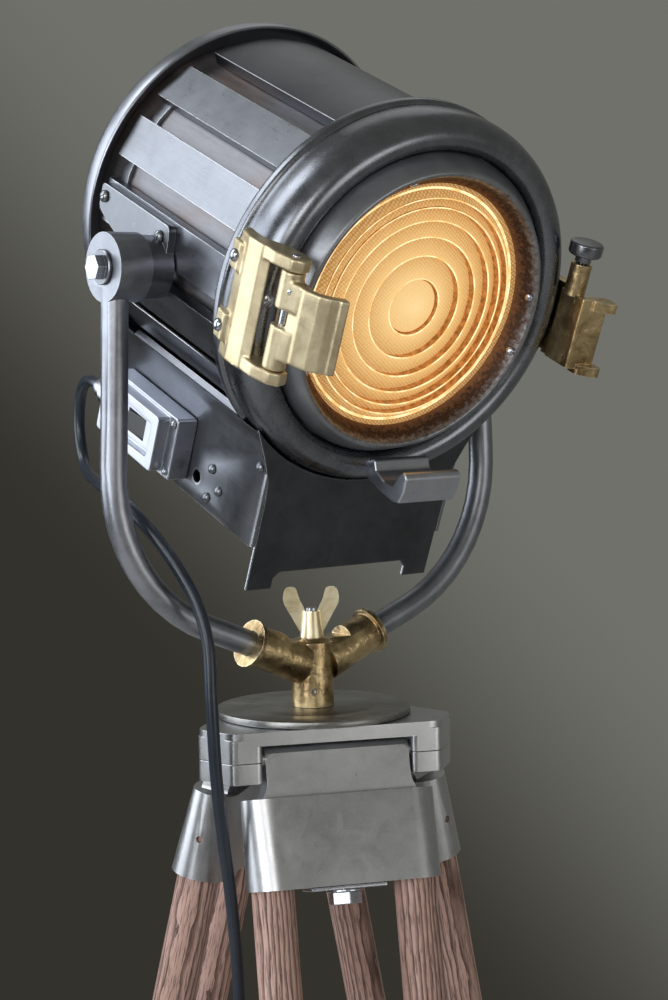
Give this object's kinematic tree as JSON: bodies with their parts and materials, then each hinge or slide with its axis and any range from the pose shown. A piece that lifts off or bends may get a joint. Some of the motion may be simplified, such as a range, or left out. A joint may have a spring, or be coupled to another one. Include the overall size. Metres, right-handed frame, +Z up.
{
  "type": "tripod floor lamp",
  "caption": "Studio spotlight with a round stepped lens in a tube yoke, on a plate-topped wooden tripod with paired round rods and sliding lower legs.",
  "frame": {"origin": "on the floor, under the middle of the outer box without the lead", "axes": "+Z up, lamp faces -Y, trunnion axis along X"},
  "size_m": [0.5751, 0.5682, 1.645],
  "materials": {
    "gunmetal": "worn, rubbed bright on the edges",
    "cast_aluminium": "satin, lightly scratched",
    "plain_steel": "worn, turned",
    "oiled_wood": "matt, open dark grain",
    "black_rubber": "satin",
    "bright_brass": "cast, polished",
    "aged_brass": "cast, aged",
    "blackened_steel": "blackened, rubbed on the edges",
    "black_plastic": "gloss",
    "amber_glass": "pressed, textured",
    "clear_glass": "clear",
    "mirror": "polished"
  },
  "bodies": {
    "tripod": {"crown": "cast_aluminium", "bearing_cap_1": "cast_aluminium", "bearing_cap_2": "cast_aluminium", "bearing_cap_3": "cast_aluminium", "turntable_disc": "plain_steel", "centre_bolt": "plain_steel", "mains_lead": "black_rubber", "plug": "black_rubber"},
    "leg_1": {"hip_casting_1": "cast_aluminium", "rod_left_1": "oiled_wood", "rod_right_1": "oiled_wood", "leg_clamp_1": "cast_aluminium"},
    "spar_1": {"lower_spar_1": "oiled_wood", "rubber_foot_1": "black_rubber"},
    "knob_1": {"lock_knob_1": "blackened_steel"},
    "leg_2": {"hip_casting_2": "cast_aluminium", "rod_left_2": "oiled_wood", "rod_right_2": "oiled_wood", "leg_clamp_2": "cast_aluminium"},
    "spar_2": {"lower_spar_2": "oiled_wood", "rubber_foot_2": "black_rubber"},
    "knob_2": {"lock_knob_2": "blackened_steel"},
    "leg_3": {"hip_casting_3": "cast_aluminium", "rod_left_3": "oiled_wood", "rod_right_3": "oiled_wood", "leg_clamp_3": "cast_aluminium"},
    "spar_3": {"lower_spar_3": "oiled_wood", "rubber_foot_3": "black_rubber"},
    "knob_3": {"lock_knob_3": "blackened_steel"},
    "yoke": {"yoke_tee": "aged_brass", "yoke_arm_left": "gunmetal", "yoke_arm_right": "gunmetal", "pivot_bolt_left": "plain_steel", "pivot_bolt_right": "plain_steel"},
    "wing_nut": {"wing_nut": "bright_brass"},
    "lamp_head": {"inner_drum": "blackened_steel", "jacket_strips_left": "gunmetal", "jacket_strips_right": "gunmetal", "top_cover": "gunmetal", "rear_cap": "gunmetal", "front_ring": "blackened_steel", "lens_bezel": "blackened_steel", "fresnel_lens": "amber_glass", "base_box": "gunmetal", "front_plate": "blackened_steel", "trunnion_bracket_left": "gunmetal", "trunnion_bracket_right": "gunmetal", "latch_base": "bright_brass", "lower_hook": "cast_aluminium", "side_bracket": "aged_brass", "switch_box": "cast_aluminium", "cable_gland": "cast_aluminium"},
    "latch_hook": {"latch_hook": "bright_brass"},
    "knurled_screw": {"knurled_screw": "blackened_steel"},
    "rocker": {"rocker": "black_plastic"},
    "focus_knob": {"focus_knob": "blackened_steel"},
    "lamp_carriage": {"lamp_carriage": "blackened_steel", "bulb": "clear_glass", "reflector": "mirror"}
  },
  "joints": [
    {"name": "leg_1_hinge", "type": "hinge", "parent": "tripod", "child": "leg_1", "pos_m": [-0.07263, -0.02991, 1.056], "axis": [0.9397, -0.342, 0], "range_deg": [0, 11]},
    {"name": "leg_1_slide", "type": "slide", "parent": "leg_1", "child": "spar_1", "axis": [-0.0769, -0.2114, -0.9744], "range_m": [-0.2, 0.3]},
    {"name": "leg_1_lock", "type": "hinge", "parent": "leg_1", "child": "knob_1", "pos_m": [-0.13759, -0.20837, 0.4112], "axis": [-0.3333, -0.9156, 0.225], "range_deg": [0, 360]},
    {"name": "leg_2_hinge", "type": "hinge", "parent": "tripod", "child": "leg_2", "pos_m": [0.00698, 0.03689, 1.056], "axis": [-0.1736, 0.9848, 0], "range_deg": [0, 11]},
    {"name": "leg_2_slide", "type": "slide", "parent": "leg_2", "child": "spar_2", "axis": [0.2215, 0.0391, -0.9744], "range_m": [-0.2, 0.3]},
    {"name": "leg_2_lock", "type": "hinge", "parent": "leg_2", "child": "knob_2", "pos_m": [0.19401, 0.06987, 0.4112], "axis": [0.9596, 0.1692, 0.225], "range_deg": [0, 360]},
    {"name": "leg_3_hinge", "type": "hinge", "parent": "tripod", "child": "leg_3", "pos_m": [-0.09068, 0.07243, 1.056], "axis": [-0.766, -0.6428, 0], "range_deg": [0, 11]},
    {"name": "leg_3_slide", "type": "slide", "parent": "leg_3", "child": "spar_3", "axis": [-0.1446, 0.1723, -0.9744], "range_m": [-0.2, 0.3]},
    {"name": "leg_3_lock", "type": "hinge", "parent": "leg_3", "child": "knob_3", "pos_m": [-0.21275, 0.21792, 0.4112], "axis": [-0.6263, 0.7464, 0.225], "range_deg": [0, 360]},
    {"name": "yoke_pan", "type": "hinge", "parent": "tripod", "child": "yoke", "pos_m": [-0.05211, 0.02647, 1.0863], "axis": [0, 0, 1], "range_deg": [-170, 170]},
    {"name": "wing_nut_turn", "type": "hinge", "parent": "yoke", "child": "wing_nut", "pos_m": [-0.05211, 0.02647, 1.1423], "axis": [0, 0, 1], "range_deg": [0, 360]},
    {"name": "lamp_tilt", "type": "hinge", "parent": "yoke", "child": "lamp_head", "pos_m": [-0.05211, 0.02647, 1.4443], "axis": [1, 0, 0], "range_deg": [-80, 40], "deforming": ["mains_lead"]},
    {"name": "latch_swing", "type": "hinge", "parent": "lamp_head", "child": "latch_hook", "pos_m": [-0.19411, -0.13547, 1.40118], "axis": [0, -0.3875, 0.9219], "range_deg": [-110, 0]},
    {"name": "knurled_screw_turn", "type": "hinge", "parent": "lamp_head", "child": "knurled_screw", "pos_m": [0.09489, -0.14631, 1.4476], "axis": [0, -0.3875, 0.9219], "continuous": true},
    {"name": "rocker_toggle", "type": "hinge", "parent": "lamp_head", "child": "rocker", "pos_m": [-0.16241, 0.10479, 1.31993], "axis": [0, -0.3875, 0.9219], "range_deg": [-12, 0]},
    {"name": "carriage_slide", "type": "slide", "parent": "lamp_head", "child": "lamp_carriage", "axis": [0, -0.9219, -0.3875], "range_m": [-0.02, 0.045]},
    {"name": "focus_knob_turn", "type": "hinge", "parent": "lamp_head", "child": "focus_knob", "pos_m": [-0.05211, 0.17872, 1.34016], "axis": [0, -0.9219, -0.3875], "range_deg": [-245, 545]}
  ],
  "couplings": [
    {"joint": "focus_knob_turn", "follows": "carriage_slide", "rad_per_m": 209.4}
  ]
}
